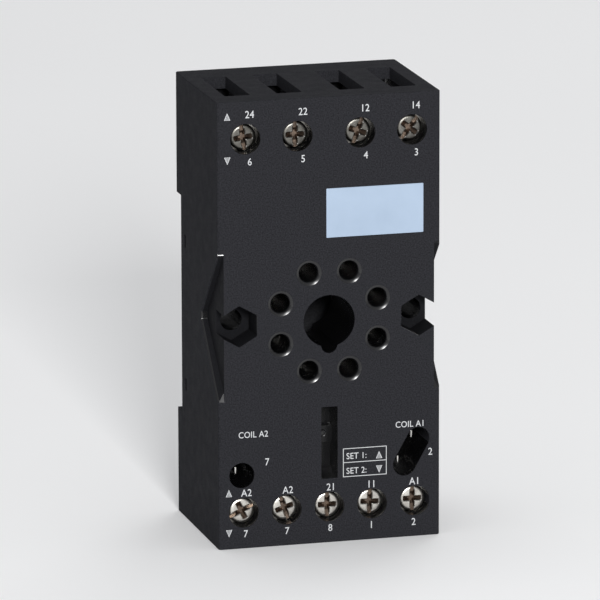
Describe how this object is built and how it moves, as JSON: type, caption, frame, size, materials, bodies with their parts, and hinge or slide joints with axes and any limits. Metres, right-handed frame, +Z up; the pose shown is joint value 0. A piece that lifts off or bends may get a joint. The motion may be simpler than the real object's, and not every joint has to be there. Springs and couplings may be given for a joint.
{
  "type": "relay socket",
  "caption": "Black plug-in relay socket for a DIN rail: octal pin holes round a keyed bore, rows of screw terminals, wire funnels and a sprung rail latch.",
  "frame": {"origin": "on the face that rests on the DIN rail, level with the centre of the octal pin circle", "axes": "+X right and +Z up as mounted, +Y into the rail; the front faces -Y"},
  "size_m": [0.037, 0.0265, 0.0734],
  "materials": {
    "black_plastic": "fine spark-eroded moulding grain",
    "dark_plastic": "smooth moulded",
    "label_film": "satin printed film",
    "plated_steel": "bright zinc or nickel plate, slightly worn",
    "spring_steel": "drawn wire",
    "brass": "stamped, satin",
    "tinned_bronze": "tin plate, satin"
  },
  "bodies": {
    "root": {"housing": "black_plastic", "label": "label_film", "rear_cover": "dark_plastic", "latch_spring": "spring_steel", "thread_nut_24": "brass", "thread_nut_22": "brass", "thread_nut_12": "brass", "thread_nut_14": "brass", "thread_nut_A2_left": "brass", "thread_nut_A2_right": "brass", "thread_nut_21": "brass", "thread_nut_11": "brass", "thread_nut_A1": "brass", "pin_contact_1": "tinned_bronze", "contact_strip_1": "brass", "pin_contact_2": "tinned_bronze", "contact_strip_2": "brass", "pin_contact_3": "tinned_bronze", "contact_strip_3": "brass", "pin_contact_4": "tinned_bronze", "contact_strip_4": "brass", "pin_contact_5": "tinned_bronze", "contact_strip_5": "brass", "pin_contact_6": "tinned_bronze", "contact_strip_6": "brass", "pin_contact_7": "tinned_bronze", "contact_strip_7": "brass", "pin_contact_8": "tinned_bronze", "contact_strip_8": "brass", "module_contact_A2": "tinned_bronze", "module_contact_A1_upper": "tinned_bronze", "module_contact_A1_lower": "tinned_bronze"},
    "rail_latch": {"rail_latch": "dark_plastic"},
    "clamp_24": {"clamp_plate_24": "plated_steel"},
    "screw_24": {"terminal_screw_24": "plated_steel"},
    "clamp_22": {"clamp_plate_22": "plated_steel"},
    "screw_22": {"terminal_screw_22": "plated_steel"},
    "clamp_12": {"clamp_plate_12": "plated_steel"},
    "screw_12": {"terminal_screw_12": "plated_steel"},
    "clamp_14": {"clamp_plate_14": "plated_steel"},
    "screw_14": {"terminal_screw_14": "plated_steel"},
    "clamp_A2_left": {"clamp_plate_A2_left": "plated_steel"},
    "screw_A2_left": {"terminal_screw_A2_left": "plated_steel"},
    "clamp_A2_right": {"clamp_plate_A2_right": "plated_steel"},
    "screw_A2_right": {"terminal_screw_A2_right": "plated_steel"},
    "clamp_21": {"clamp_plate_21": "plated_steel"},
    "screw_21": {"terminal_screw_21": "plated_steel"},
    "clamp_11": {"clamp_plate_11": "plated_steel"},
    "screw_11": {"terminal_screw_11": "plated_steel"},
    "clamp_A1": {"clamp_plate_A1": "plated_steel"},
    "screw_A1": {"terminal_screw_A1": "plated_steel"}
  },
  "joints": [
    {"name": "rail_latch_slide", "type": "slide", "parent": "root", "child": "rail_latch", "axis": [0, 0, -1], "range_m": [0, 0.0024], "stiffness_N_per_m": 900, "springref_m": -0.001, "deforming": ["latch_spring"]},
    {"name": "clamp_24_slide", "type": "slide", "parent": "root", "child": "clamp_24", "axis": [0, 1, 0], "range_m": [0, 0.0024]},
    {"name": "screw_24_turn", "type": "hinge", "parent": "clamp_24", "child": "screw_24", "pos_m": [-0.0138, -0.0233, 0.0306], "axis": [0, 1, 0], "range_deg": [0, 1440]},
    {"name": "clamp_22_slide", "type": "slide", "parent": "root", "child": "clamp_22", "axis": [0, 1, 0], "range_m": [0, 0.0024]},
    {"name": "screw_22_turn", "type": "hinge", "parent": "clamp_22", "child": "screw_22", "pos_m": [-0.0052, -0.0233, 0.0306], "axis": [0, 1, 0], "range_deg": [0, 1440]},
    {"name": "clamp_12_slide", "type": "slide", "parent": "root", "child": "clamp_12", "axis": [0, 1, 0], "range_m": [0, 0.0024]},
    {"name": "screw_12_turn", "type": "hinge", "parent": "clamp_12", "child": "screw_12", "pos_m": [0.0052, -0.0233, 0.0306], "axis": [0, 1, 0], "range_deg": [0, 1440]},
    {"name": "clamp_14_slide", "type": "slide", "parent": "root", "child": "clamp_14", "axis": [0, 1, 0], "range_m": [0, 0.0024]},
    {"name": "screw_14_turn", "type": "hinge", "parent": "clamp_14", "child": "screw_14", "pos_m": [0.0138, -0.0233, 0.0306], "axis": [0, 1, 0], "range_deg": [0, 1440]},
    {"name": "clamp_A2_left_slide", "type": "slide", "parent": "root", "child": "clamp_A2_left", "axis": [0, 1, 0], "range_m": [0, 0.0024]},
    {"name": "screw_A2_left_turn", "type": "hinge", "parent": "clamp_A2_left", "child": "screw_A2_left", "pos_m": [-0.0143, -0.0233, -0.0308], "axis": [0, 1, 0], "range_deg": [0, 1440]},
    {"name": "clamp_A2_right_slide", "type": "slide", "parent": "root", "child": "clamp_A2_right", "axis": [0, 1, 0], "range_m": [0, 0.0024]},
    {"name": "screw_A2_right_turn", "type": "hinge", "parent": "clamp_A2_right", "child": "screw_A2_right", "pos_m": [-0.00715, -0.0233, -0.0308], "axis": [0, 1, 0], "range_deg": [0, 1440]},
    {"name": "clamp_21_slide", "type": "slide", "parent": "root", "child": "clamp_21", "axis": [0, 1, 0], "range_m": [0, 0.0024]},
    {"name": "screw_21_turn", "type": "hinge", "parent": "clamp_21", "child": "screw_21", "pos_m": [0, -0.0233, -0.0308], "axis": [0, 1, 0], "range_deg": [0, 1440]},
    {"name": "clamp_11_slide", "type": "slide", "parent": "root", "child": "clamp_11", "axis": [0, 1, 0], "range_m": [0, 0.0024]},
    {"name": "screw_11_turn", "type": "hinge", "parent": "clamp_11", "child": "screw_11", "pos_m": [0.00715, -0.0233, -0.0308], "axis": [0, 1, 0], "range_deg": [0, 1440]},
    {"name": "clamp_A1_slide", "type": "slide", "parent": "root", "child": "clamp_A1", "axis": [0, 1, 0], "range_m": [0, 0.0024]},
    {"name": "screw_A1_turn", "type": "hinge", "parent": "clamp_A1", "child": "screw_A1", "pos_m": [0.0143, -0.0233, -0.0308], "axis": [0, 1, 0], "range_deg": [0, 1440]}
  ],
  "couplings": [
    {"joint": "screw_24_turn", "follows": "clamp_24_slide", "rad_per_m": 10472},
    {"joint": "screw_22_turn", "follows": "clamp_22_slide", "rad_per_m": 10472},
    {"joint": "screw_12_turn", "follows": "clamp_12_slide", "rad_per_m": 10472},
    {"joint": "screw_14_turn", "follows": "clamp_14_slide", "rad_per_m": 10472},
    {"joint": "screw_A2_left_turn", "follows": "clamp_A2_left_slide", "rad_per_m": 10472},
    {"joint": "screw_A2_right_turn", "follows": "clamp_A2_right_slide", "rad_per_m": 10472},
    {"joint": "screw_21_turn", "follows": "clamp_21_slide", "rad_per_m": 10472},
    {"joint": "screw_11_turn", "follows": "clamp_11_slide", "rad_per_m": 10472},
    {"joint": "screw_A1_turn", "follows": "clamp_A1_slide", "rad_per_m": 10472}
  ]
}
